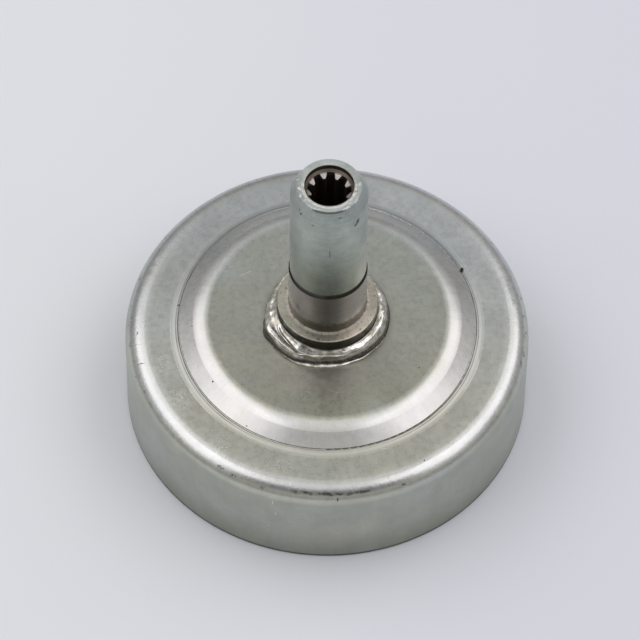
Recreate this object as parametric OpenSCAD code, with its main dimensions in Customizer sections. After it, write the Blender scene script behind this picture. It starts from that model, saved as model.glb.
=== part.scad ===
// Clutch drum of a brush cutter: a pressed steel cup with a splined hub welded on.
// Millimetres, +Z up. The origin is the centre of the rim plane that the drum stands on.
// Turned and pressed pieces are revolved sections. Bends are true arcs.

/* [Cup] */
// Outside diameter of the drum wall
drum_d = 78; // [72:0.5:90]
// Thickness of the pressed sheet
sheet_t = 2; // [1.4:0.1:2.4]
// Height of the flat shelf above the rim
shelf_h = 21.5; // [18:0.5:30]
// Inside radius of the bend between top and wall
edge_inner_r = 1.1; // [0.3:0.1:1.4]
// Width of the strip between shelf and wall that falls away slightly
crown_w = 4.4; // [3.9:0.1:5]
// Angle by which that strip falls away
crown_angle = 5; // [3:0.5:8]
// Radius that blends the strip into the shelf
crown_r = 12; // [6:0.5:14]
// Bevel on both edges of the rim
rim_bevel = 0.3; // [0.1:0.05:0.5]

/* [Raised centre] */
// Radius of the foot of the step, where slope and shelf would meet
foot_r = 29.5; // [28:0.1:30.5]
// Height of the raised centre above the shelf
centre_rise = 3; // [2:0.1:4]
// Steepness of the slope
slope_angle = 31; // [26:1:43]
// Inside radius of the bend at the top of the slope
ridge_inner_r = 4; // [2:0.2:5]
// Outside radius of the bend at the foot of the slope
foot_bend_r = 3.2; // [1:0.2:4]
// Width of the fine die line at the end of the foot bend
die_line_w = 0.4; // [0.2:0.02:0.6]

/* [Hub] */
// Diameter of the spigot that passes through the cup
spigot_d = 16; // [14:0.5:18]
// Radial clearance between spigot and cup
spigot_gap = 0.03; // [0.01:0.01:0.1]
// How far the spigot stands out inside the cup
spigot_proud = 1; // [0.4:0.1:1.5]
// Diameter of the collar that sits on the cup
collar_d = 19.4; // [18.5:0.1:22]
// Height of the collar
collar_h = 5.7; // [4.2:0.1:8]
// Bevel round the collar's top edge
collar_bevel = 0.2; // [0.1:0.05:0.5]
// Diameter of the bearing seat
seat_d = 15; // [14:0.5:17]
// Length of the bearing seat
seat_l = 11; // [8:0.5:14]
// Diameter at the bottom of the retaining-ring groove
groove_d = 14.3; // [13.4:0.1:14.4]
// Width of the retaining-ring groove
groove_w = 1.1; // [0.9:0.1:1.6]
// Diameter of the shaft above the groove
stem_d = 14.6; // [14.5:0.1:15]
// Length of the shaft above the groove
stem_l = 25.4; // [18:0.2:36]
// Width of the bevel at the shaft's end
tip_bevel_w = 1.2; // [0.5:0.05:1.4]
// Height of the bevel at the shaft's end
tip_bevel_h = 2.5; // [0.5:0.1:4]

/* [Spline socket] */
// Number of spline grooves
spline_n = 9; // [6:1:11]
// Diameter across the bottoms of the grooves
spline_root_d = 8.4; // [7.4:0.1:8.6]
// Diameter across the tips of the teeth
spline_tip_d = 6.7; // [6.4:0.1:7.2]
// Width of a groove where it opens between two tips
groove_mouth_w = 1.8; // [1.5:0.05:1.9]
// Width of a groove at its bottom
groove_floor_w = 1.44; // [0.9:0.02:1.5]
// Length of the splines
spline_l = 30; // [20:1:36]
// Turn of the whole pattern about the axis
spline_turn = -3.5; // [-20:0.5:20]
// Diameter of the counterbored mouth
mouth_d = 9.3; // [9:0.1:10]
// Depth of the counterbored mouth
mouth_depth = 1.05; // [0.4:0.05:3]
// Height of the cone that leads from the mouth in over the ends of the teeth
lead_in_h = 1.25; // [0.5:0.05:2]
// Diameter of the plain bore under the splines
relief_d = 8.8; // [8.6:0.1:9.4]

/* [Weld] */
// How far the weld reaches out from the collar
weld_leg_w = 2.15; // [1.2:0.05:3]
// How far the weld climbs the collar
weld_leg_h = 3.3; // [2:0.1:4]
// How unevenly wide the weld is
weld_waver = 0.25; // [0:0.05:0.4]
// Size of the lump where the weld starts and ends
weld_lump = 0.45; // [0:0.05:0.7]

/* [Hidden] */
$fn = 128;

// Heights of the stack, from the rim up
centre_z = shelf_h + centre_rise;
collar_z = centre_z + collar_h;
seat_z = collar_z + seat_l;
stem_z = seat_z + groove_w;
top_z = stem_z + stem_l;
spigot_z = centre_z - sheet_t - spigot_proud;

// Clearance of cuts past a face
eps = 0.5;

// Spigot end bevel and relief mouth
spigot_bevel = 0.4;

// Directions of the top surface's stretches, from the hub out, in degrees
slope_dirs = [0, -slope_angle, 0, -crown_angle, -90];
edge_r = drum_d / 2;
ridge_r = foot_r - centre_rise / tan(slope_angle);
edge_z = shelf_h - crown_w * tan(crown_angle);

// Corners of the top surface before rounding, from the hub out
top_corners = [
    [ridge_r, centre_z],
    [foot_r, shelf_h],
    [edge_r - crown_w, shelf_h],
    [edge_r, edge_z]
];

// The same corners on the sheet's other face
under_corners = [
    for (i = [0:3])
        top_corners[i] + sheet_t * sheet_offset(slope_dirs[i], slope_dirs[i + 1])
];

// Bend radii on both faces: a bend over the edge is larger on top, a bend up is smaller
top_radii = [ridge_inner_r + sheet_t, foot_bend_r, crown_r + sheet_t, edge_inner_r + sheet_t];
under_radii = [ridge_inner_r, foot_bend_r + sheet_t, crown_r, edge_inner_r];

// Die line: where the foot bend runs into the slope
foot_run = foot_bend_r * tan(slope_angle / 2);
die_line = [foot_r - foot_run * cos(slope_angle), shelf_h + foot_run * sin(slope_angle)];

// Offset of a corner to the sheet's other face, per millimetre of thickness
function sheet_offset(a, b) = [sin(a) + sin(b), -cos(a) - cos(b)] / (1 + cos(a - b));

function unit(v) = v / norm(v);
function turned_area(a, b) = a[0] * b[1] - a[1] * b[0];
function reversed(list) = [for (i = [len(list) - 1:-1:0]) list[i]];

// Tangent point on the way from a corner towards its neighbour
function tangent_point(corner, other, run) = corner + run * unit(other - corner);

// Length from a corner to where its arc begins
function arc_run(p, c, n, r) =
    let (u = unit(p - c), v = unit(n - c))
    r * sqrt((1 + u * v) / (1 - u * v));

// Centre of the arc that rounds a corner
function arc_centre(p, c, n, r) =
    let (u = unit(p - c), v = unit(n - c))
    c + unit(u + v) * r * sqrt(2 / (1 - u * v));

// Outline through the points, anticlockwise, with each corner rounded by a true arc
module rounded_outline(points, radii) {
    count = len(points);
    before = [for (i = [0:count - 1]) points[(i + count - 1) % count]];
    after = [for (i = [0:count - 1]) points[(i + 1) % count]];
    cut = [for (i = [0:count - 1]) arc_run(before[i], points[i], after[i], radii[i])];
    outward = [
        for (i = [0:count - 1])
            turned_area(points[i] - before[i], after[i] - points[i]) > 0
    ];
    cut_points = [
        for (i = [0:count - 1])
            for (other = radii[i] > 0 ? [before[i], after[i]] : [points[i]])
                radii[i] > 0 ? tangent_point(points[i], other, cut[i]) : other
    ];
    module arc_piece(i) {
        intersection() {
            translate(arc_centre(before[i], points[i], after[i], radii[i]))
                circle(r = radii[i]);
            polygon([
                tangent_point(points[i], before[i], cut[i]),
                points[i],
                tangent_point(points[i], after[i], cut[i])
            ]);
        }
    }
    difference() {
        union() {
            polygon(cut_points);
            for (i = [0:count - 1])
                if (radii[i] > 0 && outward[i]) arc_piece(i);
        }
        for (i = [0:count - 1])
            if (radii[i] > 0 && !outward[i]) arc_piece(i);
    }
}

// Half section of the pressed sheet, from the hub hole out to the rim
module cup_section() {
    hole_r = spigot_d / 2 + spigot_gap;
    inner_r = edge_r - sheet_t;
    rim = [
        [inner_r, rim_bevel],
        [inner_r + rim_bevel, 0],
        [edge_r - rim_bevel, 0],
        [edge_r, rim_bevel]
    ];
    rounded_outline(
        concat(
            [[hole_r, centre_z], [hole_r, centre_z - sheet_t]],
            under_corners,
            rim,
            reversed(top_corners)
        ),
        concat([0, 0], under_radii, [0, 0, 0, 0], reversed(top_radii))
    );
}

module drum_cup() {
    color("silver")
        rotate_extrude()
            difference() {
                cup_section();
                translate(die_line)
                    circle(d = die_line_w);
            }
}

// Half section of the turned hub, solid to the axis
module hub_section() {
    spigot_r = spigot_d / 2;
    collar_r = collar_d / 2;
    seat_r = seat_d / 2;
    stem_r = stem_d / 2;
    polygon([
        [0, spigot_z],
        [spigot_r - spigot_bevel, spigot_z],
        [spigot_r, spigot_z + spigot_bevel],
        [spigot_r, centre_z],
        [collar_r, centre_z],
        [collar_r, collar_z - collar_bevel],
        [collar_r - collar_bevel, collar_z],
        [seat_r, collar_z],
        [seat_r, seat_z],
        [groove_d / 2, seat_z],
        [groove_d / 2, stem_z],
        [stem_r, stem_z],
        [stem_r, top_z - tip_bevel_h],
        [stem_r - tip_bevel_w, top_z],
        [0, top_z]
    ]);
}

// One spline groove, pointing along +X and narrowing outwards
module spline_groove() {
    tip_r = spline_tip_d / 2;
    root_r = spline_root_d / 2;
    inner_x = tip_r / 2;
    outer_x = root_r + eps;
    taper = (groove_mouth_w - groove_floor_w) / 2 / (root_r - tip_r);
    inner_y = groove_mouth_w / 2 + taper * (tip_r - inner_x);
    outer_y = groove_floor_w / 2 - taper * eps;
    polygon([[inner_x, -inner_y], [outer_x, -outer_y], [outer_x, outer_y], [inner_x, inner_y]]);
}

// Cross-section of the splined hole
module spline_hole() {
    intersection() {
        circle(d = spline_root_d);
        union() {
            circle(d = spline_tip_d);
            for (i = [0:spline_n - 1])
                rotate(90 + spline_turn + i * 360 / spline_n)
                    spline_groove();
        }
    }
}

module hub_shaft() {
    spline_top = top_z - mouth_depth;
    spline_bottom = spline_top - spline_l;
    color("lightsteelblue")
        difference() {
            rotate_extrude()
                hub_section();
            translate([0, 0, spline_top])
                cylinder(d = mouth_d, h = mouth_depth + eps);
            translate([0, 0, spline_top - lead_in_h])
                cylinder(d1 = spline_tip_d, d2 = mouth_d, h = lead_in_h);
            translate([0, 0, spline_bottom - eps])
                linear_extrude(spline_l + 2 * eps)
                    spline_hole();
            translate([0, 0, spigot_z - eps])
                cylinder(d = relief_d, h = spline_bottom - spigot_z + eps);
        }
}

// Smooth bump of height 1 about one azimuth, in degrees
function bump(a, centre, width) =
    let (d = (a - centre + 540) % 360 - 180)
    exp(-pow(d / width, 2));

// Reach of the weld at an azimuth, counted from -Y towards +X
function weld_reach(a) =
    weld_leg_w
    + weld_waver * cos(2 * (a + 45))
    + weld_lump * (0.7 * bump(a, 305, 22) + 0.9 * bump(a, 288, 6) - 0.5 * bump(a, 267, 9))
    + weld_waver * (0.2 * sin(7 * a) + 0.14 * sin(19 * a + 40));

// Height to which the weld climbs the collar at an azimuth
function weld_climb(a) =
    weld_leg_h
    + weld_waver * (0.5 * sin(a + 200) + 0.3 * sin(5 * a) + 0.2 * sin(17 * a))
    + weld_lump * 0.3 * bump(a, 300, 26);

// Uneven ring of weld metal: rings of points from the toe up to the collar
module weld_bead() {
    around = 120;
    steps = 8;
    wall_r = collar_d / 2 / cos(180 / around);
    section = [
        for (i = [0:around - 1])
            let (a = i * 360 / around)
            concat(
                [[wall_r, 0]],
                [
                    for (k = [0:steps])
                        let (q = 90 * k / steps)
                        [
                            wall_r + weld_reach(a) * pow(cos(q), 0.8),
                            weld_climb(a) * pow(sin(q), 0.9)
                        ]
                ]
            )
    ];
    per_ring = steps + 2;
    points = [
        for (i = [0:around - 1])
            for (p = section[i])
                let (a = i * 360 / around)
                [p[0] * sin(a), -p[0] * cos(a), centre_z + p[1]]
    ];
    faces = [
        for (i = [0:around - 1])
            for (k = [0:per_ring - 1])
                let (
                    here = i * per_ring,
                    next = ((i + 1) % around) * per_ring,
                    up = (k + 1) % per_ring
                )
                for (f = [[here + k, here + up, next + up], [here + k, next + up, next + k]])
                    f
    ];
    color("gainsboro")
        polyhedron(points = points, faces = faces, convexity = 4);
}

drum_cup();
hub_shaft();
weld_bead();
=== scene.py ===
import math
import bpy
from mathutils import Matrix, Quaternion, Vector, noise


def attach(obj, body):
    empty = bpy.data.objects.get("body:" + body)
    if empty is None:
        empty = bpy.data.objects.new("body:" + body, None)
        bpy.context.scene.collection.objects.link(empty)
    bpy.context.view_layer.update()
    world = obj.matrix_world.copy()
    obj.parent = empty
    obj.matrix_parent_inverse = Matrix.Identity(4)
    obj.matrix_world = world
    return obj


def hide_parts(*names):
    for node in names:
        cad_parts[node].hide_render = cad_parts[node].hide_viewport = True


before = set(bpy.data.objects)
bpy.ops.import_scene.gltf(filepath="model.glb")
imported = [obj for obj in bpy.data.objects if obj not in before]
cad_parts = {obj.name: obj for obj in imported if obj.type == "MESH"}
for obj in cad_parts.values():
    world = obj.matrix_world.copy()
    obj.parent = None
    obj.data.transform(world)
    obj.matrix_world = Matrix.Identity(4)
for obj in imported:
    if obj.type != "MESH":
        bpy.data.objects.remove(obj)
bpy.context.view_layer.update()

# Heights and radii of the drum in millimetres, as in the part's source
DRUM_R = 39.0
SHELF_Z = 21.5
CENTRE_Z = 24.5
FOOT_R = 29.5
COLLAR_R = 9.7
COLLAR_Z = 30.2
SEAT_R = 7.5
SEAT_Z = 41.2
STEM_Z = 42.3
STEM_R = 7.3
MOUTH_R = 4.65
TOP_Z = 67.7
METRES = 0.001

# Camera: long lens from the front, looking down at the drum
CAMERA_ELEVATION = 56.154
CAMERA_DISTANCE = 0.9436
CAMERA_TARGET = Vector((0, 0, 0.015))
CAMERA_AIM_UP = 0.28354
CAMERA_AIM_LEFT = 0.08558
CAMERA_ROLL = 0.912
CAMERA_LENS = 273.55
CAMERA_SENSOR = 36.0

# Two soft boxes, left and right, above the drum
SOFTBOX_DISTANCE = 0.9
SOFTBOX_WIDTH = 1.12
SOFTBOX_RADIANCE = 1.2
SOFTBOX_COLOUR = (1.0, 0.965, 1.01)

# Brightness of the room from the horizon up, each level with its elevation in degrees
HORIZON_LEVEL = 0.34
HORIZON_TOP = 4
BAND_LEVEL = 0.58
BAND_LOW = 36
BAND_HIGH = 43
BACK_LEVEL = 0.43
BACK_LOW = 56
# Bright ceiling, a little to the front of straight up
CEILING_LEVEL = 1.05
CEILING_ELEVATION = 84
CEILING_CORE = 10
CEILING_EDGE = 34
# Dim patch behind the camera
FRONT_LEVEL = 0.10
FRONT_LOW = 28
FRONT_HIGH = 58
FRONT_SIDE = 50


def add_camera():
    """Long lens, aimed a little off the target so that the drum sits as in the photograph."""
    elevation = math.radians(CAMERA_ELEVATION)
    back = Vector((0, -math.cos(elevation), math.sin(elevation)))
    data = bpy.data.cameras.new("camera")
    data.lens = CAMERA_LENS
    data.sensor_width = CAMERA_SENSOR
    data.clip_start = 0.05
    data.clip_end = 20
    camera = bpy.data.objects.new("camera", data)
    bpy.context.scene.collection.objects.link(camera)
    turn = Matrix.Rotation(math.radians(90 - CAMERA_ELEVATION), 4, "X")
    turn = turn @ Matrix.Rotation(math.radians(CAMERA_AIM_UP), 4, "X")
    turn = turn @ Matrix.Rotation(math.radians(CAMERA_AIM_LEFT), 4, "Y")
    turn = turn @ Matrix.Rotation(math.radians(CAMERA_ROLL), 4, "Z")
    camera.matrix_world = Matrix.Translation(CAMERA_TARGET + back * CAMERA_DISTANCE) @ turn
    bpy.context.scene.camera = camera


def add_softbox(name, azimuth, elevation, height, roll):
    """A large soft lamp aimed at the drum; azimuth counts from -Y towards +X, roll about its axis."""
    a = math.radians(azimuth)
    e = math.radians(elevation)
    towards = Vector((math.sin(a) * math.cos(e), -math.cos(a) * math.cos(e), math.sin(e)))
    data = bpy.data.lights.new(name, "AREA")
    data.shape = "RECTANGLE"
    data.size = SOFTBOX_WIDTH
    data.size_y = height
    data.energy = SOFTBOX_RADIANCE * math.pi * data.size * data.size_y
    data.color = SOFTBOX_COLOUR
    light = bpy.data.objects.new(name, data)
    bpy.context.scene.collection.objects.link(light)
    light.location = towards * SOFTBOX_DISTANCE
    turn = towards.to_track_quat("Z", "Y") @ Quaternion((0, 0, 1), math.radians(roll))
    light.rotation_euler = turn.to_euler()


class Nodes:
    """Adds and links nodes in one tree."""

    def __init__(self, tree):
        self.tree = tree

    def add(self, kind, **settings):
        made = self.tree.nodes.new(kind)
        for name, value in settings.items():
            setattr(made, name, value)
        return made

    def feed(self, socket, value):
        """Links an output to a socket, or sets the socket to a number."""
        if isinstance(value, bpy.types.NodeSocket):
            self.tree.links.new(value, socket)
        else:
            socket.default_value = value

    def maths(self, operation, *values):
        made = self.add("ShaderNodeMath", operation=operation)
        for socket, value in zip(made.inputs, values):
            self.feed(socket, value)
        return made.outputs[0]

    def product(self, *values):
        result = values[0]
        for value in values[1:]:
            result = self.maths("MULTIPLY", result, value)
        return result

    def total(self, *values):
        result = values[0]
        for value in values[1:]:
            result = self.maths("ADD", result, value)
        return result

    def smooth(self, source, low, high, out_low=0.0, out_high=1.0):
        """Goes smoothly from out_low at low to out_high at high, where low may be the larger."""
        if low > high:
            low, high, out_low, out_high = high, low, out_high, out_low
        made = self.add("ShaderNodeMapRange", interpolation_type="SMOOTHSTEP")
        for name, value in (("From Min", low), ("From Max", high), ("To Min", out_low), ("To Max", out_high)):
            made.inputs[name].default_value = value
        self.feed(made.inputs["Value"], source)
        return made.outputs[0]

    def band(self, source, low, high, blur):
        """One between low and high, falling off over blur on both sides."""
        return self.product(self.smooth(source, low - blur, low), self.smooth(source, high + blur, high))

    def vector(self, x, y, z):
        made = self.add("ShaderNodeCombineXYZ")
        for socket, value in zip(made.inputs, (x, y, z)):
            self.feed(socket, value)
        return made.outputs[0]

    def noise(self, vector, scale, detail=2.0, roughness=0.5):
        made = self.add("ShaderNodeTexNoise")
        self.feed(made.inputs["Vector"], vector)
        made.inputs["Scale"].default_value = scale
        made.inputs["Detail"].default_value = detail
        made.inputs["Roughness"].default_value = roughness
        return made.outputs["Fac"]

    def mix(self, factor, first, second):
        """Blends two colours, each an output or three numbers."""
        made = self.add("ShaderNodeMix", data_type="RGBA")
        self.feed(made.inputs["Factor"], factor)
        for socket, value in zip((made.inputs[6], made.inputs[7]), (first, second)):
            self.feed(socket, value + (1,) if isinstance(value, tuple) else value)
        return made.outputs[2]

    def shade(self, colour, *factors):
        """Multiplies a colour by one or more brightness factors."""
        made = self.add("ShaderNodeVectorMath", operation="SCALE")
        self.feed(made.inputs[0], colour)
        self.feed(made.inputs["Scale"], self.product(*factors))
        return made.outputs[0]

    def bump(self, height, distance):
        """Raises the surface by distance, in metres, where the height is one."""
        made = self.add("ShaderNodeBump")
        made.inputs["Distance"].default_value = distance
        self.feed(made.inputs["Height"], height)
        return made.outputs["Normal"]

    def place(self):
        """The point on the part in millimetres, its x, y and z, and its distance from the axis."""
        scaled = self.add("ShaderNodeVectorMath", operation="SCALE")
        self.feed(scaled.inputs[0], self.add("ShaderNodeTexCoord").outputs["Object"])
        scaled.inputs["Scale"].default_value = 1 / METRES
        point = scaled.outputs[0]
        split = self.add("ShaderNodeSeparateXYZ")
        self.feed(split.inputs[0], point)
        x, y, z = split.outputs
        radius = self.maths("SQRT", self.total(self.product(x, x), self.product(y, y)))
        return point, x, y, z, radius

    def upward(self):
        """One where the surface looks up, nought where it looks sideways or down."""
        split = self.add("ShaderNodeSeparateXYZ")
        self.feed(split.inputs[0], self.add("ShaderNodeNewGeometry").outputs["Normal"])
        return self.smooth(split.outputs[2], 0.02, 0.15)

    def marks(self, point, marks):
        """One inside any of the given marks: place, half sizes and turn about Z in degrees."""
        found = 0.0
        for spot, half_sizes, turn in marks:
            local = self.add("ShaderNodeMapping", vector_type="TEXTURE")
            local.inputs["Location"].default_value = spot
            local.inputs["Rotation"].default_value = (0, 0, math.radians(turn))
            local.inputs["Scale"].default_value = half_sizes
            self.feed(local.inputs["Vector"], point)
            length = self.add("ShaderNodeVectorMath", operation="LENGTH")
            self.feed(length.inputs[0], local.outputs[0])
            found = self.maths("MAXIMUM", found, self.smooth(length.outputs["Value"], 1.2, 0.6))
        return found

    def ragged(self, point, amount, scale):
        """The point, moved about by up to amount so that the edges of marks come out ragged."""
        made = self.add("ShaderNodeTexNoise")
        self.feed(made.inputs["Vector"], point)
        made.inputs["Scale"].default_value = scale
        moved = self.add("ShaderNodeVectorMath", operation="MULTIPLY_ADD")
        self.feed(moved.inputs[0], made.outputs["Color"])
        moved.inputs[1].default_value = (2 * amount,) * 3
        self.feed(moved.inputs[2], point)
        centred = self.add("ShaderNodeVectorMath", operation="SUBTRACT")
        self.feed(centred.inputs[0], moved.outputs[0])
        centred.inputs[1].default_value = (amount,) * 3
        return centred.outputs[0]


def sine(degrees):
    return math.sin(math.radians(degrees))


def add_world():
    """A soft room: a bright ceiling, a paler band at mid height and a dim patch behind the camera."""
    world = bpy.data.worlds.new("studio")
    bpy.context.scene.world = world
    world.use_nodes = True
    nodes = Nodes(world.node_tree)
    split = nodes.add("ShaderNodeSeparateXYZ")
    nodes.feed(split.inputs[0], nodes.add("ShaderNodeTexCoord").outputs["Generated"])
    x, y, z = split.outputs
    towards_ceiling = nodes.total(
        nodes.product(z, sine(CEILING_ELEVATION)),
        nodes.product(y, -sine(90 - CEILING_ELEVATION)),
    )
    level = nodes.total(
        nodes.smooth(z, sine(HORIZON_TOP), sine(BAND_LOW), HORIZON_LEVEL, BAND_LEVEL),
        nodes.smooth(z, sine(BAND_HIGH), sine(BACK_LOW), 0, BACK_LEVEL - BAND_LEVEL),
        nodes.smooth(
            towards_ceiling, sine(90 - CEILING_EDGE), sine(90 - CEILING_CORE), 0, CEILING_LEVEL - BACK_LEVEL
        ),
    )
    flat = nodes.maths("SQRT", nodes.total(nodes.product(x, x), nodes.product(y, y)))
    facing = nodes.maths("DIVIDE", nodes.product(y, -1), nodes.maths("MAXIMUM", flat, 0.001))
    side = sine(90 - FRONT_SIDE)
    dim = nodes.product(
        nodes.smooth(facing, side, side + 0.2),
        nodes.smooth(z, sine(FRONT_LOW), sine(FRONT_LOW) + 0.18),
        nodes.smooth(z, sine(FRONT_HIGH), sine(FRONT_HIGH) - 0.12),
    )
    kept = nodes.maths("SUBTRACT", 1, nodes.product(dim, 1 - FRONT_LEVEL / BACK_LEVEL))
    nodes.feed(world.node_tree.nodes["Background"].inputs["Color"], nodes.product(level, kept))


def new_material(name, metallic):
    """A material with its shader and a helper for its nodes."""
    material = bpy.data.materials.new(name)
    material.use_nodes = True
    shader = material.node_tree.nodes["Principled BSDF"]
    shader.inputs["Metallic"].default_value = metallic
    return material, shader, Nodes(material.node_tree)


FLOOR_HALF = 3.0
FLOOR_LEFT = (0.725, 0.745, 0.77)
FLOOR_RIGHT = (0.67, 0.69, 0.74)


def floor_material():
    """Plain pale table, a trace bluer and darker to the right."""
    material, shader, nodes = new_material("pale_table", 0)
    point, x, y, z, radius = nodes.place()
    tone = nodes.mix(nodes.smooth(x, -70, 70), FLOOR_LEFT, FLOOR_RIGHT)
    nodes.feed(shader.inputs["Base Color"], tone)
    nodes.feed(shader.inputs["Normal"], nodes.bump(nodes.noise(point, 1.5), 0.00001))
    shader.inputs["Roughness"].default_value = 0.6
    return material


def add_floor():
    mesh = bpy.data.meshes.new("floor")
    s = FLOOR_HALF
    mesh.from_pydata([(-s, -s, 0), (s, -s, 0), (s, s, 0), (-s, s, 0)], [], [(0, 1, 2, 3)])
    floor = bpy.data.objects.new("floor", mesh)
    bpy.context.scene.collection.objects.link(floor)
    mesh.materials.append(floor_material())


# Zinc plate on the cup
SHELF_NEAR = (0.56, 0.563, 0.49)
SHELF_FAR = (0.58, 0.608, 0.608)
CENTRE_NEAR = (0.455, 0.45, 0.37)
CENTRE_FAR = (0.46, 0.485, 0.445)
WALL_COLOUR = (0.425, 0.44, 0.385)
SLOPE_TINT = (0.555, 0.552, 0.53)
BEND_COLOUR = (0.56, 0.565, 0.55)
WARM_TINT = (0.60, 0.57, 0.48)
COOL_TINT = (0.52, 0.57, 0.585)
STAIN_AND_SHADE_COLOUR = (0.14, 0.125, 0.095)
DIRT_AND_SHADE_COLOUR = (0.035, 0.033, 0.027)
SCRATCH_COLOUR = (0.80, 0.80, 0.76)

# Centre of the outer bend's arc, and how much its sheet rolls over early, in hundredths of a millimetre
BEND_R = 35.9
BEND_Z = 18.27
ROLL_DROP = 22

# Die lines at the foot of the step: radius of each and half width
DIE_LINE_R = 28.82
OUTER_LINE_R = 29.25
DIE_LINE_HALF = 0.13

# Nicks and specks on the cup: place, half sizes and turn
CUP_NICKS = [
    ((26.0, 13.4, 21.9), (0.42, 1.0, 0.6), -14),
    ((-28.8, 4.0, 21.9), (0.28, 0.2, 0.4), 0),
    ((-26.0, -2.0, 23.3), (0.16, 0.16, 0.5), 0),
    ((-21.7, -14.7, 23.6), (0.17, 0.17, 0.5), 0),
    ((-15.0, -23.9, 22.4), (0.15, 0.13, 0.4), 0),
    ((17.7, -11.4, 24.5), (0.17, 0.17, 0.3), 0),
    ((18.8, -30.4, 21.4), (0.16, 0.14, 0.3), 0),
    ((2.5, -38.5, 19.8), (0.13, 0.3, 0.55), 0),
]

# Faint ragged dents along the top bend, drawn as dark marks in the colour only
BEND_DENTS = [
    ((-35.7, -9.4, 21.2), (1.1, 0.16, 0.6), 8),
    ((-36.6, -2.5, 21.2), (0.2, 0.6, 0.5), 0),
    ((-36.4, -5.0, 21.3), (0.9, 0.1, 0.5), 0),
    ((-34.8, -15.5, 20.7), (0.35, 0.5, 0.4), 0),
    ((-19.8, -32.3, 20.8), (0.9, 0.3, 0.4), -30),
    ((-17.3, -33.9, 20.5), (0.8, 0.3, 0.4), -25),
    ((-11.8, -36.5, 20.4), (0.6, 0.4, 0.35), -20),
    ((15.0, -35.2, 20.4), (0.7, 0.35, 0.3), 20),
    ((38.0, -5.2, 20.2), (0.3, 0.8, 0.4), 0),
    ((37.4, -7.4, 20.4), (0.3, 0.8, 0.4), 0),
    ((38.4, 0.0, 20.1), (0.3, 0.6, 0.3), 0),
]

# Light scratches on the cup
CUP_SCRATCHES = [
    ((-4.6, -18.1, 24.5), (0.07, 0.42, 0.3), 8),
    ((-4.0, -18.4, 24.5), (0.07, 0.4, 0.3), -12),
    ((-3.4, -18.3, 24.5), (0.3, 0.07, 0.3), 20),
    ((0.9, -17.0, 24.5), (0.75, 0.06, 0.3), -24),
    ((2.2, -17.4, 24.5), (0.45, 0.06, 0.3), 18),
    ((14.7, -8.9, 24.5), (0.07, 0.5, 0.3), -35),
    ((-15.8, 9.9, 24.5), (1.4, 0.07, 0.3), 28),
    ((11.5, -28.0, 21.5), (1.2, 0.06, 0.3), -3),
    ((12.8, -28.7, 21.5), (0.06, 0.55, 0.3), 8),
    ((33.1, -9.8, 21.5), (0.08, 0.8, 0.3), -18),
    ((31.7, -12.6, 21.5), (0.07, 1.1, 0.3), -27),
    ((30.2, -15.5, 21.5), (0.07, 0.9, 0.3), -30),
    ((28.6, -18.2, 21.5), (0.07, 1.0, 0.3), -35),
    ((-6.5, -35.9, 21.2), (0.06, 0.5, 0.3), 0),
    ((-31.8, -11.2, 21.4), (0.3, 0.3, 0.3), 0),
    ((-29.2, -16.0, 21.4), (0.1, 0.6, 0.3), 25),
    ((-28.6, -16.6, 21.4), (0.5, 0.08, 0.3), 30),
    ((-25.6, -20.4, 21.4), (0.08, 0.7, 0.3), 40),
    ((-24.9, -22.3, 21.4), (0.5, 0.08, 0.3), 10),
    ((-31.0, -2.5, 21.4), (0.07, 0.8, 0.3), 5),
    ((-30.6, 1.6, 21.4), (0.07, 0.6, 0.3), 0),
    ((-9.8, -37.8, 17.2), (0.12, 0.4, 0.7), 0),
    ((-9.2, -37.9, 13.4), (0.1, 0.4, 0.6), 0),
    ((-10.6, -37.5, 8.6), (0.2, 0.4, 0.15), 0),
]

# Patches of fine light pocks on the shelf
CUP_POCKED = [
    ((-8.6, -32.0, 21.5), (3.2, 1.9, 1), 8),
    ((-31.2, -9.5, 21.5), (2.0, 3.0, 1), 12),
    ((-28.3, -17.5, 21.5), (2.2, 3.2, 1), 30),
    ((-20.5, -27.5, 21.5), (2.6, 2.4, 1), 40),
    ((-35.2, -13.0, 21.2), (1.2, 5.0, 1.2), 18),
    ((-29.0, -24.0, 21.2), (1.4, 6.0, 1.2), 40),
    ((12.0, -24.5, 23.0), (2.2, 1.2, 1), 20),
]


def largest(nodes, *values):
    result = values[0]
    for value in values[1:]:
        result = nodes.maths("MAXIMUM", result, value)
    return result


def cup_colour(nodes, y, centre, slope, bend, wall, hue):
    """Plain colour of the plate: warmer towards -Y, darker on the raised centre and down the wall."""
    far = nodes.smooth(y, -30, 32)
    colour = nodes.mix(
        centre,
        nodes.mix(far, SHELF_NEAR, SHELF_FAR),
        nodes.mix(far, CENTRE_NEAR, CENTRE_FAR),
    )
    colour = nodes.mix(slope, colour, SLOPE_TINT)
    colour = nodes.mix(bend, colour, BEND_COLOUR)
    colour = nodes.mix(wall, colour, WALL_COLOUR)
    colour = nodes.mix(nodes.smooth(hue, 0.52, 0.75, 0, 0.35), colour, WARM_TINT)
    return nodes.mix(nodes.smooth(hue, 0.48, 0.25, 0, 0.3), colour, COOL_TINT)


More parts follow.
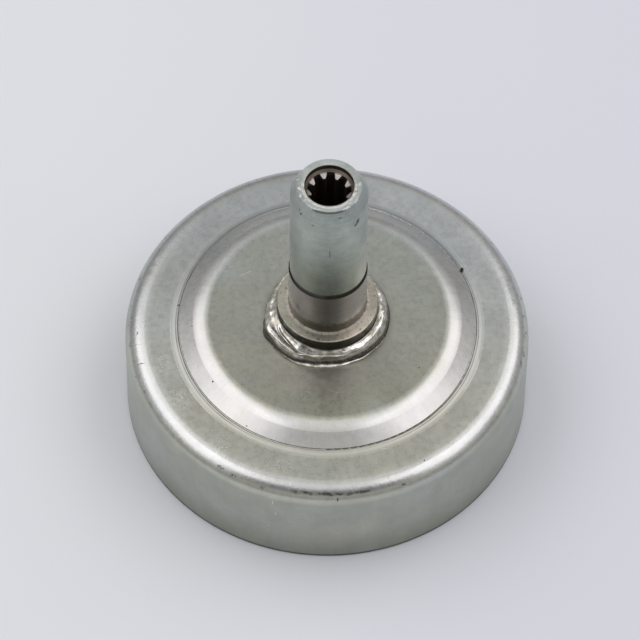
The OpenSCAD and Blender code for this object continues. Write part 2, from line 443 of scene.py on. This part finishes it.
def die_lines(nodes, x, y, radius, upward, patches):
    """Two fine lines pressed in at the foot of the step, dark with dirt and painted shade, and painted shade between
    and outside them that dims the foot's highlight; all weaker towards the back.
    """
    first = nodes.band(radius, DIE_LINE_R - 0.06, DIE_LINE_R + 0.06, DIE_LINE_HALF)
    second = nodes.band(radius, OUTER_LINE_R - 0.02, OUTER_LINE_R + 0.02, DIE_LINE_HALF)
    between = nodes.band(radius, DIE_LINE_R, OUTER_LINE_R, 0.12)
    foot = nodes.band(radius, OUTER_LINE_R, 30.1, 0.25)
    uneven = nodes.smooth(patches, 0.3, 0.7, 0.75, 1)
    lines = largest(
        nodes,
        nodes.product(first, nodes.smooth(nodes.maths("ABSOLUTE", x), 8, 20, 0.45, 0.8)),
        nodes.product(second, nodes.smooth(nodes.maths("ABSOLUTE", x), 8, 20, 0.45, 0.75)),
        nodes.product(between, 0.38),
        nodes.product(foot, 0.3),
    )
    return nodes.product(lines, upward, uneven, nodes.smooth(y, 24, 14, 0.75, 1))


def edge_scuffs_and_shade(nodes, point, x, y, z, radius):
    """Dark scuffs with painted shade along the lower border of the top bend, heaviest at the front."""
    along = nodes.vector(x, y, nodes.product(z, 1.6))
    edge = nodes.product(nodes.band(z, 20.1, 20.5, 0.3), nodes.smooth(radius, 37.4, 37.8))
    patchy = nodes.smooth(nodes.noise(along, 1.0, 4, 0.7), 0.56, 0.68)
    heavy = nodes.product(
        nodes.band(nodes.total(z, nodes.product(nodes.noise(along, 0.5, 2), 0.6)), 20.85, 21.05, 0.2),
        nodes.smooth(radius, 37.3, 37.7),
        nodes.smooth(nodes.maths("ABSOLUTE", nodes.total(x, -1.5)), 10, 6),
        nodes.smooth(y, -30, -33),
        nodes.smooth(nodes.noise(along, 0.9, 3, 0.6), 0.35, 0.55, 0.35, 1),
    )
    behind = nodes.smooth(y, -26, -10, 0.2, 1)
    return largest(nodes, nodes.product(edge, patchy, behind, 0.6), nodes.product(heavy, 0.85))


def cup_material():
    """Satin zinc plate on pressed steel."""
    material, shader, nodes = new_material("pressed_zinc_steel", 1)
    point, x, y, z, radius = nodes.place()
    upward = nodes.upward()
    grain = nodes.noise(point, 0.9, 3, 0.55)
    fine = nodes.noise(point, 3.2, 2, 0.5)
    patches = nodes.noise(point, 0.22, 3, 0.55)
    hue = nodes.noise(point, 0.08, 2, 0.5)

    # Streaks that run out from the axis, as a worn press tool leaves them
    inverse = nodes.maths("DIVIDE", 1, nodes.maths("MAXIMUM", radius, 1))
    around = nodes.vector(nodes.product(x, inverse, 45), nodes.product(y, inverse, 45), nodes.product(radius, 0.12))
    streaks = nodes.noise(around, 1.6, 2, 0.6)
    # Draw lines that run up and down the wall
    drawn = nodes.noise(nodes.vector(x, y, nodes.product(z, 0.1)), 0.8, 2, 0.5)

    centre = nodes.product(nodes.smooth(radius, 24.2, 22.6), upward)
    slope = nodes.product(nodes.band(radius, 24.4, 28.4, 0.5), upward)
    bend = nodes.product(nodes.smooth(radius, 34.5, 36.5), nodes.smooth(z, 20.0, 21.0))
    # The wall's duller, darker plate begins higher at the left and right than in front: painted shade on the lower
    # bend, heavier at the sides than in front
    aside = nodes.smooth(nodes.maths("ABSOLUTE", x), 12, 34, 0.8, -0.3)
    wall = nodes.product(nodes.smooth(nodes.total(z, aside), 20.4, 18.6), nodes.smooth(radius, 37.5, 38.2))
    colour = nodes.shade(
        cup_colour(nodes, y, centre, slope, bend, wall, hue),
        nodes.smooth(grain, 0.25, 0.75, 0.97, 1.03),
        nodes.smooth(fine, 0.25, 0.75, 0.985, 1.015),
        nodes.smooth(patches, 0.3, 0.7, 0.95, 1.05),
        nodes.total(1, nodes.product(slope, nodes.smooth(streaks, 0.3, 0.7, -0.02, 0.02))),
        nodes.total(1, nodes.product(wall, nodes.smooth(drawn, 0.3, 0.7, -0.015, 0.015))),
        # Painted shade: darker on the front of the top bend, on the front of the slope, and towards the back left
        nodes.total(1, nodes.product(bend, nodes.smooth(y, -32, -36, 0, -0.12))),
        nodes.total(1, nodes.product(slope, nodes.smooth(y, -22, -27, 0, -0.14))),
        nodes.smooth(nodes.total(x, nodes.product(y, -1)), -44, -28, 0.88, 1),
    )

    # Painted shade low on the wall, less at the sides; a darker patch in front of the weld; soot and painted shade in
    # a fringe round the weld
    low_wall_shade = nodes.product(
        wall,
        nodes.smooth(z, 10, 0, 0, 0.30),
        nodes.smooth(nodes.maths("ABSOLUTE", x), 29, 37, 1, 0.4),
    )
    front_patch = nodes.marks(nodes.ragged(point, 1.6, 0.5), [((-0.3, -15.6, 24.5), (2.6, 3.6, 2), 0)])
    fringe = nodes.product(nodes.smooth(radius, 13.4, 11.9), centre, nodes.smooth(patches, 0.3, 0.6, 0.1, 0.4))
    soil_and_shade = largest(nodes, low_wall_shade, nodes.product(front_patch, 0.32), fringe)
    colour = nodes.mix(soil_and_shade, colour, STAIN_AND_SHADE_COLOUR)

    # Darker along the bottom rim, where the cup stands on the table
    rim_darkening = nodes.product(nodes.smooth(z, 1.0, 0.3), nodes.smooth(radius, 38.0, 38.6), 0.75)
    dents = nodes.product(
        nodes.marks(nodes.ragged(point, 0.45, 1.6), BEND_DENTS),
        nodes.smooth(nodes.noise(point, 2.4, 2, 0.6), 0.42, 0.6, 0.1, 0.75),
    )
    nicks = nodes.marks(nodes.ragged(point, 0.12, 2.5), CUP_NICKS)
    lines = die_lines(nodes, x, y, radius, upward, patches)
    # Dark marks, scuffs and dirt, with the painted shade of the scuffs and die lines, in one dark colour
    dirt_and_shade = largest(nodes, edge_scuffs_and_shade(nodes, point, x, y, z, radius), rim_darkening, nicks, dents, lines)
    colour = nodes.mix(dirt_and_shade, colour, DIRT_AND_SHADE_COLOUR)

    # Bright metal in scratches and pocks
    speckle = nodes.smooth(nodes.noise(point, 2.6, 2, 0.7), 0.58, 0.68)
    pocks = nodes.product(nodes.marks(nodes.ragged(point, 1.2, 0.4), CUP_POCKED), speckle, 0.6)
    scratches = nodes.product(nodes.marks(nodes.ragged(point, 0.06, 3), CUP_SCRATCHES), 0.6)
    bright = largest(nodes, pocks, scratches)
    nodes.feed(shader.inputs["Base Color"], nodes.mix(bright, colour, SCRATCH_COLOUR))

    roughness = nodes.total(
        nodes.smooth(grain, 0.25, 0.75, 0.262, 0.308),
        nodes.product(wall, 0.06),
        nodes.product(dirt_and_shade, 0.35),
        nodes.product(soil_and_shade, 0.15),
    )
    nodes.feed(shader.inputs["Roughness"], roughness)
    # The sheet rolls over the outer bend a little earlier than a plain arc does
    turned = nodes.maths("ARCTAN2", nodes.total(radius, -BEND_R), nodes.total(z, -BEND_Z))
    rolled = nodes.smooth(turned, math.radians(-14), math.radians(40))
    height = nodes.total(
        nodes.product(rolled, -ROLL_DROP),
        nodes.product(grain, 0.5),
        nodes.product(fine, 0.1),
        nodes.product(nodes.noise(point, 0.35, 1), 1.5),
        nodes.product(slope, streaks, 0.12),
        nodes.product(bend, nodes.noise(point, 1.3, 3, 0.65), 3),
        nodes.product(wall, drawn, 0.5),
        nodes.product(nicks, -4),
        nodes.product(pocks, -1.5),
    )
    nodes.feed(shader.inputs["Normal"], nodes.bump(height, 0.00001))
    return material


# Hub: turned steel under thin zinc
STEM_COLOUR = (0.44, 0.485, 0.455)
STEM_LOW_COLOUR = (0.185, 0.205, 0.182)
STEM_LOW_RIGHT_REFLECTION = (0.38, 0.38, 0.345)
SEAT_COLOUR = (0.19, 0.18, 0.182)
LEDGE_DIRT_AND_SHADE_COLOUR = (0.04, 0.033, 0.024)
SEAT_EDGE_COLOUR = (0.22, 0.17, 0.12)
GROOVE_DIRT_AND_SHADE_COLOUR = (0.018, 0.016, 0.013)
COLLAR_RING_COLOUR = (0.80, 0.73, 0.65)
COLLAR_TOP_LEFT = (0.535, 0.52, 0.425)
COLLAR_TOP_RIGHT_HIGHLIGHT = (0.80, 0.735, 0.61)
COLLAR_SIDE_COLOUR = (0.034, 0.029, 0.018)
END_COLOUR = (0.46, 0.49, 0.47)
SOCKET_SHADE_COLOUR = (0.19, 0.165, 0.135)
TOOTH_HIGHLIGHT_COLOUR = (0.80, 0.75, 0.72)
GRIME_AND_SHADE_COLOUR = (0.05, 0.048, 0.03)
BURR_AND_HIGHLIGHT_COLOUR = (0.88, 0.88, 0.82)
UNDERSIDE_COLOUR = (0.55, 0.56, 0.53)

# Nicks and dark spots on the hub
HUB_NICKS = [
    ((4.84, -1.25, 67.7), (0.2, 0.2, 0.2), 0),
    ((0.3, -7.3, 56.0), (0.1, 0.4, 1.6), 0),
    ((-4.6, -5.6, 66.4), (0.14, 0.3, 0.55), 0),
    ((5.35, -4.95, 63.4), (0.5, 0.5, 0.8), 0),
    ((5.0, -5.3, 62.8), (0.4, 0.4, 0.4), 0),
    ((-3.0, -6.7, 64.3), (0.45, 0.3, 0.14), 0),
    ((-5.5, -4.4, 66.0), (0.25, 0.25, 0.3), 0),
    ((-5.1, -4.9, 65.4), (0.25, 0.25, 0.35), 0),
    ((2.1, -6.4, 66.4), (0.5, 0.3, 0.12), 0),
    ((5.0, -1.1, 67.7), (0.25, 0.3, 0.2), 0),
]

# Bright burrs round the end face
HUB_BURRS = [
    ((-5.6, -0.7, 67.6), (0.35, 0.5, 0.3), 0),
    ((-5.3, -2.2, 67.6), (0.3, 0.4, 0.3), 0),
    ((-4.5, -3.5, 67.6), (0.25, 0.3, 0.3), 0),
    ((5.5, 0.6, 67.6), (0.25, 0.6, 0.3), 0),
    ((4.6, -3.6, 67.6), (0.9, 0.3, 0.3), 35),
    ((3.2, -5.0, 67.6), (0.9, 0.2, 0.3), 25),
    ((-2.6, -5.2, 67.6), (1.3, 0.2, 0.3), -20),
    ((-3.4, -4.6, 67.6), (0.35, 0.25, 0.3), 0),
    ((-5.9, 1.4, 67.5), (0.2, 0.4, 0.3), 0),
    ((6.4, 1.2, 67.3), (0.2, 0.5, 0.3), 0),
]


def hub_material():
    """Turned steel: satin shaft, darker ground seat, groove dark with dirt and painted shade, burnt collar side with
    painted shade, and painted light and shade on the shaft's sides, the collar top, the socket and the mouth's edge.
    """
    material, shader, nodes = new_material("turned_zinc_steel", 1)
    point, x, y, z, radius = nodes.place()
    grain = nodes.noise(point, 1.3, 3, 0.55)
    fine = nodes.noise(point, 5.0, 2, 0.5)
    turned = nodes.noise(nodes.vector(nodes.product(x, 0.05), nodes.product(y, 0.05), z), 4.0, 3, 0.6)
    patches = nodes.noise(point, 0.35, 2, 0.5)

    outside = nodes.smooth(radius, MOUTH_R + 0.05, MOUTH_R + 0.2)
    seat = nodes.band(z, COLLAR_Z, SEAT_Z, 0.02)
    groove = nodes.product(nodes.band(z, SEAT_Z + 0.1, STEM_Z, 0.05), nodes.smooth(radius, 7.29, 7.25))
    ledge = nodes.product(nodes.band(z, SEAT_Z - 0.02, SEAT_Z + 0.5, 0.05), nodes.smooth(radius, 7.49, 7.44))
    collar_ring = nodes.product(nodes.band(z, COLLAR_Z - 0.1, COLLAR_Z + 0.05, 0.05), nodes.band(radius, 7.55, 8.05, 0.1))
    collar_top = nodes.product(nodes.band(z, COLLAR_Z - 0.15, COLLAR_Z + 0.02, 0.05), nodes.smooth(radius, 7.5, 7.6))
    collar_side = nodes.product(nodes.smooth(z, COLLAR_Z - 0.06, COLLAR_Z - 0.3), nodes.smooth(radius, 9.4, 9.55))
    end = nodes.product(nodes.smooth(z, TOP_Z - 0.12, TOP_Z - 0.04), outside)
    underside = nodes.smooth(z, CENTRE_Z, CENTRE_Z - 0.5)
    tooth_ends = nodes.product(nodes.band(z, TOP_Z - 2.4, TOP_Z - 1.2, 0.05), nodes.smooth(radius, 4.3, 3.9))

    # Painted shade: the shaft and seat are darker on the left and right than in the middle, and darker at the shaft's
    # upper right
    left = nodes.product(nodes.smooth(x, -4.5, -7, 1, 0.72), nodes.smooth(x, -1, -5, 1.08, 1))
    right = nodes.product(nodes.smooth(x, 5, 7.2, 1, 0.84), nodes.smooth(nodes.total(x, nodes.product(z, 0.3)), 22.0, 23.5, 1, 0.84))
    sides = nodes.product(left, right, nodes.total(1, nodes.product(seat, nodes.smooth(nodes.maths("ABSOLUTE", x), 6, 7.3, 0, -0.75))))
    sides = nodes.total(1, nodes.product(nodes.total(sides, -1), nodes.smooth(radius, 7.7, 7.55)))
    # Darker towards the bottom of the stem; the lighter patch low on the right is a painted reflection of the cup's
    # bright slope
    low = nodes.smooth(z, 62, 40)
    colour = nodes.mix(low, STEM_COLOUR, nodes.mix(nodes.smooth(x, 4.5, 6.5), STEM_LOW_COLOUR, STEM_LOW_RIGHT_REFLECTION))
    colour = nodes.mix(seat, colour, SEAT_COLOUR)
    # Collar top: a painted highlight makes the right side lighter, with painted shade towards the front
    right_top_highlight = nodes.shade(nodes.mix(0.0, COLLAR_TOP_RIGHT_HIGHLIGHT, COLLAR_TOP_LEFT), nodes.smooth(y, -5, -1, 1.12, 0.68))
    colour = nodes.mix(collar_top, colour, nodes.mix(nodes.smooth(x, -3, 6), COLLAR_TOP_LEFT, right_top_highlight))
    colour = nodes.mix(nodes.product(end, nodes.smooth(patches, 0.4, 0.6, 0.5, 1)), colour, END_COLOUR)
    colour = nodes.mix(underside, colour, UNDERSIDE_COLOUR)
    # Inside the mouth: painted shade on the socket walls and a painted highlight on the tooth ends
    colour = nodes.mix(outside, nodes.mix(tooth_ends, SOCKET_SHADE_COLOUR, TOOTH_HIGHLIGHT_COLOUR), colour)
    rough_parts = nodes.maths("SUBTRACT", 1, nodes.product(seat, 0.8))
    colour = nodes.shade(
        colour,
        nodes.total(1, nodes.product(rough_parts, nodes.smooth(grain, 0.25, 0.75, -0.06, 0.06))),
        nodes.total(1, nodes.product(rough_parts, nodes.smooth(fine, 0.25, 0.75, -0.03, 0.03))),
        nodes.smooth(turned, 0.3, 0.7, 0.94, 1.06),
        nodes.smooth(patches, 0.3, 0.7, 0.93, 1.07),
        sides,
    )

    # Grime and painted shade at the foot of the seat
    foot = nodes.product(
        nodes.smooth(nodes.total(z, nodes.product(nodes.noise(point, 1.1, 2), 1.6)), COLLAR_Z + 4.4, COLLAR_Z + 2.6),
        nodes.smooth(z, COLLAR_Z + 0.1, COLLAR_Z + 0.3),
        nodes.smooth(radius, 7.75, 7.6),
        nodes.smooth(patches, 0.3, 0.7, 0.8, 0.95),
    )
    # The collar side is burnt oxide with painted shade, reaching over its top edge where a highlight would show
    burnt_and_shaded = nodes.product(collar_side, nodes.smooth(patches, 0.3, 0.7, 0.88, 1))
    colour = nodes.mix(burnt_and_shaded, colour, COLLAR_SIDE_COLOUR)
    seat_edge = nodes.product(nodes.band(z, SEAT_Z - 0.4, SEAT_Z - 0.1, 0.1), nodes.smooth(radius, 7.3, 7.4), nodes.smooth(x, -3, 1), 0.5)
    colour = nodes.mix(seat_edge, colour, SEAT_EDGE_COLOUR)
    # The groove and its ledge are dark with dirt and painted shade, less at the left where light falls into them
    shade_in_groove = nodes.smooth(x, -1.5, 0.5, 0.6, 1)
    ledge = nodes.product(ledge, shade_in_groove)
    groove = nodes.product(groove, shade_in_groove)
    colour = nodes.mix(ledge, colour, LEDGE_DIRT_AND_SHADE_COLOUR)
    colour = nodes.mix(groove, colour, GROOVE_DIRT_AND_SHADE_COLOUR)
    colour = nodes.mix(nodes.product(collar_ring, nodes.smooth(grain, 0.4, 0.6, 0.3, 0.9)), colour, COLLAR_RING_COLOUR)
    metal = nodes.total(
        1,
        nodes.product(groove, -0.95),
        nodes.product(ledge, -0.9),
        nodes.product(collar_ring, -0.3),
        nodes.product(collar_top, -0.12),
    )
    metal = nodes.maths("MAXIMUM", metal, 0)
    nodes.feed(shader.inputs["Metallic"], metal)
    specks = nodes.product(collar_top, nodes.smooth(nodes.noise(point, 1.5, 3, 0.7), 0.6, 0.68), 0.7)
    nicks = nodes.product(nodes.marks(nodes.ragged(point, 0.22, 2.0), HUB_NICKS), 0.7)
    # Painted shade: a dark arc along the front of the end face's outer edge, mixed with the grime, specks and nicks in
    # one dark colour
    arc = nodes.product(nodes.band(radius, 6.05, 6.3, 0.08), nodes.smooth(y, -5.2, -5.8), nodes.smooth(z, 67.2, 67.4), 0.6)
    dirt_and_shade = largest(nodes, foot, specks, nicks, arc)
    colour = nodes.mix(dirt_and_shade, colour, GRIME_AND_SHADE_COLOUR)
    # Painted highlight: a bright broken line along the front of the mouth's edge, together with the real burrs
    lip_highlight = nodes.product(
        nodes.band(radius, 4.75, 5.1, 0.15),
        nodes.smooth(z, 67.4, 67.55),
        nodes.smooth(nodes.noise(point, 0.9, 2, 0.6), 0.4, 0.55, 0.25, 1),
        nodes.smooth(y, 3, -1),
        0.7,
    )
    burrs_and_highlight = nodes.maths("MAXIMUM", lip_highlight, nodes.marks(nodes.ragged(point, 0.7, 1.6), HUB_BURRS))
    nodes.feed(shader.inputs["Base Color"], nodes.mix(nodes.product(burrs_and_highlight, 0.85), colour, BURR_AND_HIGHLIGHT_COLOUR))

    roughness = nodes.total(
        nodes.smooth(grain, 0.25, 0.75, 0.42, 0.50),
        nodes.product(low, -0.16),
        nodes.product(seat, -0.10),
        nodes.product(collar_top, 0.10),
        nodes.product(burrs_and_highlight, -0.15),
        nodes.product(dirt_and_shade, 0.2),
        nodes.product(groove, 0.2),
    )
    nodes.feed(shader.inputs["Roughness"], roughness)
    height = nodes.total(
        nodes.product(rough_parts, grain, 0.8),
        nodes.product(rough_parts, fine, 0.2),
        nodes.product(turned, 0.6),
        nodes.product(end, patches, 5),
        nodes.product(nicks, -4),
        nodes.product(burrs_and_highlight, 6),
    )
    nodes.feed(shader.inputs["Normal"], nodes.bump(height, 0.00001))
    return material


def weld_material():
    """Shiny uneven weld metal, with soot and painted shade in its hollows and where it meets the cup and the collar.
    """
    material, shader, nodes = new_material("plated_weld", 1)
    point, x, y, z, radius = nodes.place()
    grain = nodes.noise(point, 2.2, 3, 0.6)
    patches = nodes.noise(point, 0.6, 2, 0.5)
    colour = nodes.mix(nodes.smooth(patches, 0.35, 0.65), WELD_DULL_COLOUR, WELD_BRIGHT_COLOUR)
    colour = nodes.shade(colour, nodes.smooth(grain, 0.25, 0.75, 0.9, 1.1))
    # Soot and painted shade carried on the bead's mesh: its hollows, its toe and the skirt beyond it
    soot_and_shade = nodes.add("ShaderNodeAttribute", attribute_name="soot_and_shade").outputs["Fac"]
    soot_and_shade = nodes.product(soot_and_shade, nodes.smooth(grain, 0.3, 0.6, 0.8, 1.1))
    joint = nodes.smooth(radius, COLLAR_R + 0.22, COLLAR_R + 0.05, 0, 0.9)
    specks = nodes.smooth(nodes.noise(point, 2.0, 3, 0.7), 0.60, 0.66, 0, 0.8)
    dirt_and_shade = nodes.maths("MINIMUM", largest(nodes, soot_and_shade, joint, specks), 0.97)
    colour = nodes.mix(dirt_and_shade, colour, WELD_SOOT_AND_SHADE_COLOUR)
    nodes.feed(shader.inputs["Base Color"], colour)
    nodes.feed(shader.inputs["Metallic"], nodes.total(1, nodes.product(dirt_and_shade, -0.9)))
    roughness = nodes.total(nodes.smooth(grain, 0.3, 0.7, 0.12, 0.20), nodes.product(dirt_and_shade, 0.35))
    nodes.feed(shader.inputs["Roughness"], roughness)
    height = nodes.total(nodes.product(patches, 1.5), nodes.product(grain, 1.2))
    nodes.feed(shader.inputs["Normal"], nodes.bump(height, 0.00002))
    return material


# Weld metal, dull and bright, and the soot and painted shade on it
WELD_DULL_COLOUR = (0.46, 0.44, 0.37)
WELD_BRIGHT_COLOUR = (0.90, 0.88, 0.82)
WELD_SOOT_AND_SHADE_COLOUR = (0.025, 0.021, 0.013)

# Weld bead: reach of the toe from the axis, by azimuth in degrees from -Y towards +X
TOE_REACH = [
    (-180, 12.1), (-140, 12.25), (-107, 11.75), (-92, 11.7), (-80, 12.2), (-70, 12.75), (-58, 12.3),
    (-35, 12.1), (-15, 11.2), (0, 10.75), (20, 11.0), (42, 11.45), (65, 11.8), (120, 11.85), (150, 12.05),
]
# Height at which the weld meets the collar
CLIMB = [(-180, 27.9), (-120, 27.6), (-75, 28.2), (-40, 28.1), (0, 27.5), (45, 27.7), (110, 27.9)]
# Reach of the thin skirt of spread metal past the toe
SKIRT = [(-180, 0.2), (-60, 0.30), (-38, 0.2), (-22, 0.85), (0, 0.95), (22, 0.6), (45, 0.3), (90, 0.28)]
# How full the section is: nought is hollow by the collar, one is round
FULLNESS = [(-180, 0.6), (-80, 0.5), (-20, 0.25), (0, 0.2), (30, 0.75), (60, 0.9), (110, 0.6)]
# Ridges of the bead: azimuth and section fraction where each starts and ends, height and half width
RIDGES = [
    (-68, 0.14, -21, 0.57, 0.36, 0.05),
    (-74, 0.57, -20, 0.55, 0.40, 0.055),
    (-26, 0.55, 24, 0.52, 0.20, 0.05),
    (10, 0.45, 96, 0.24, 0.16, 0.15),
    (-150, 0.35, -80, 0.42, 0.20, 0.08),
    (100, 0.30, 160, 0.42, 0.10, 0.12),
]
# Hollows with soot and painted shade: azimuth and section fraction where each starts and ends, strength and half width
SOOTY_SHADED_HOLLOWS = [
    (-72, 0.36, -24, 0.52, 0.95, 0.085),
    (-66, 0.02, -30, 0.20, 0.6, 0.06),
    (-30, 0.40, 22, 0.36, 0.45, 0.09),
    (-150, 0.16, -70, 0.16, 0.6, 0.08),
    (-140, 0.62, -76, 0.66, 0.5, 0.12),
    (20, 0.08, 150, 0.08, 0.6, 0.06),
    (60, 0.52, 150, 0.55, 0.6, 0.10),
]
# Soot and painted shade towards the toe: azimuth and section fraction where it is full; it starts this much before
TOE_SOOT_AND_SHADE_FULL = [
    (-180, 0.85), (-116, 0.93), (-92, 0.88), (-70, 0.80), (-40, 0.92), (0, 0.94), (46, 0.80), (76, 0.76),
    (92, 0.66), (120, 0.7),
]
TOE_SOOT_AND_SHADE_BLUR = 0.22
TOE_SOOT_AND_SHADE = 0.97
# Soot and painted shade on the skirt, by azimuth
SKIRT_SOOT_AND_SHADE = [(-180, 0.85), (-62, 1.0), (-35, 0.6), (-20, 0.15), (35, 0.15), (55, 0.6), (75, 1.0)]
WELD_AROUND = 720
WELD_ACROSS = 44


def eased(points, azimuth):
    """Value at an azimuth from a closed list of azimuths and values, eased between them."""
    ring = [(a - 360, v) for a, v in points[-1:]] + points + [(a + 360, v) for a, v in points[:1]]
    for (a0, v0), (a1, v1) in zip(ring, ring[1:]):
        if a0 <= azimuth <= a1:
            t = (azimuth - a0) / (a1 - a0)
            return v0 + (v1 - v0) * t * t * (3 - 2 * t)
    return points[0][1]


def bezier(start, first, second, end, t):
    s = 1 - t
    return s * s * s * start + 3 * s * s * t * first + 3 * s * t * t * second + t * t * t * end


def ridge_height(azimuth, u):
    """Height of the ridges above the plain section at one place."""
    height = 0
    for a0, u0, a1, u1, tall, half_width in RIDGES:
        t = (azimuth - a0) / (a1 - a0)
        if 0 < t < 1:
            middle = u0 + (u1 - u0) * t + 0.03 * math.sin(9 * t)
            ends = min(1, 6 * t, 6 * (1 - t))
            height += tall * ends * math.exp(-((u - middle) / half_width) ** 2)
    return height


def soot_and_shade_depth(azimuth, u):
    """How much soot and painted shade the bead has at one place, from nought to one."""
    full = eased(TOE_SOOT_AND_SHADE_FULL, azimuth)
    t = min(1, max(0, 1 + (u - full) / TOE_SOOT_AND_SHADE_BLUR))
    depth = TOE_SOOT_AND_SHADE * t * t * (3 - 2 * t)
    for a0, u0, a1, u1, strength, half_width in SOOTY_SHADED_HOLLOWS:
        t = (azimuth - a0) / (a1 - a0)
        if 0 < t < 1:
            middle = u0 + (u1 - u0) * t + 0.03 * math.sin(7 * t)
            ends = min(1, 8 * t, 8 * (1 - t))
            depth = max(depth, strength * ends * math.exp(-((u - middle) / half_width) ** 2))
    return depth


def weld_point(azimuth, u):
    """Point of the bead's skin: u runs from the collar at nought to the toe at one, in millimetres."""
    reach = eased(TOE_REACH, azimuth) - COLLAR_R
    climb = eased(CLIMB, azimuth) - CENTRE_Z
    full = eased(FULLNESS, azimuth)
    r = bezier(0, 0.25 + 0.3 * full, 1.14, 1, u) * reach
    h = bezier(1, 0.62 + 0.33 * full, 0.66 + 0.2 * full, 0, u) * climb
    a = math.radians(azimuth)
    spot = Vector((math.sin(a) * 9, -math.cos(a) * 9, 5 * u))
    lumps = 0.12 * noise.noise(spot * 0.5) + 0.035 * noise.noise(spot * 1.6)
    ripples = 0.008 * math.sin(math.radians(azimuth) * 46 + 5 * (u - 0.5) ** 2)
    lift = (ridge_height(azimuth, u) + lumps + ripples) * math.sin(math.pi * min(1, u * 1.02)) ** 0.6
    lean = math.pi / 2 * (0.35 + 0.6 * u)
    return COLLAR_R + r + lift * math.sin(lean), CENTRE_Z + h + lift * math.cos(lean)


def skirt_points(azimuth):
    """The thin step of spread metal outside the toe."""
    reach = eased(TOE_REACH, azimuth)
    width = eased(SKIRT, azimuth)
    a = math.radians(azimuth)
    wave = 1 + 0.35 * noise.noise(Vector((math.sin(a), -math.cos(a), 0.3)) * 5)
    width *= wave
    step = 0.06 + 0.2 * min(1, width)
    return [
        (reach + 0.02, CENTRE_Z + step),
        (reach + width * 0.45, CENTRE_Z + step * 0.95),
        (reach + width * 0.8, CENTRE_Z + step * 0.75),
        (reach + width * 0.97, CENTRE_Z + step * 0.35),
        (reach + width, CENTRE_Z - 0.01),
    ]


def weld_section(azimuth):
    """Closed section of the bead at one azimuth: radius, height, and soot and painted shade of each point."""
    fractions = [k / WELD_ACROSS for k in range(WELD_ACROSS + 1)]
    skin = [weld_point(azimuth, u) + (soot_and_shade_depth(azimuth, u),) for u in fractions]
    skirt = [p + (eased(SKIRT_SOOT_AND_SHADE, azimuth),) for p in skirt_points(azimuth)]
    skin = [p for p in skin if p[1] > skirt[0][1] or p[0] < skirt[0][0]]
    while len(skin) <= WELD_ACROSS:
        skin.append(skirt[0][:2] + (TOE_SOOT_AND_SHADE,))
    return skin + skirt + [(COLLAR_R - 0.02, CENTRE_Z - 0.01, 0)]


def weld_bead():
    """The uneven ring of weld metal between collar and cup."""
    rings = []
    for i in range(WELD_AROUND):
        azimuth = i * 360 / WELD_AROUND - 180
        rings.append((math.radians(azimuth), weld_section(azimuth)))
    per_ring = len(rings[0][1])
    points = []
    soot_and_shade = []
    for a, section in rings:
        for r, z, depth in section:
            points.append((r * math.sin(a) * METRES, -r * math.cos(a) * METRES, z * METRES))
            soot_and_shade.append(depth)
    faces = []
    for i in range(WELD_AROUND):
        here = i * per_ring
        following = (i + 1) % WELD_AROUND * per_ring
        for k in range(per_ring):
            up = (k + 1) % per_ring
            faces.append((here + k, following + k, following + up, here + up))
    mesh = bpy.data.meshes.new("weld_metal")
    mesh.from_pydata(points, [], faces)
    mesh.update()
    mesh.shade_smooth()
    mesh.attributes.new("soot_and_shade", "FLOAT", "POINT").data.foreach_set("value", soot_and_shade)
    mesh.materials.append(weld_material())
    piece = bpy.data.objects.new("weld_metal", mesh)
    bpy.context.scene.collection.objects.link(piece)
    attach(piece, "root")
    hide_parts("weld_bead")


add_camera()
add_softbox("softbox_left", -102, 55.5, 0.64, 11)
add_softbox("softbox_right", 102, 56.0, 0.60, -13)
add_world()
add_floor()
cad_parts["drum_cup"].data.materials[0] = cup_material()
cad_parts["hub_shaft"].data.materials[0] = hub_material()
weld_bead()
bpy.context.scene.view_settings.view_transform = "Standard"
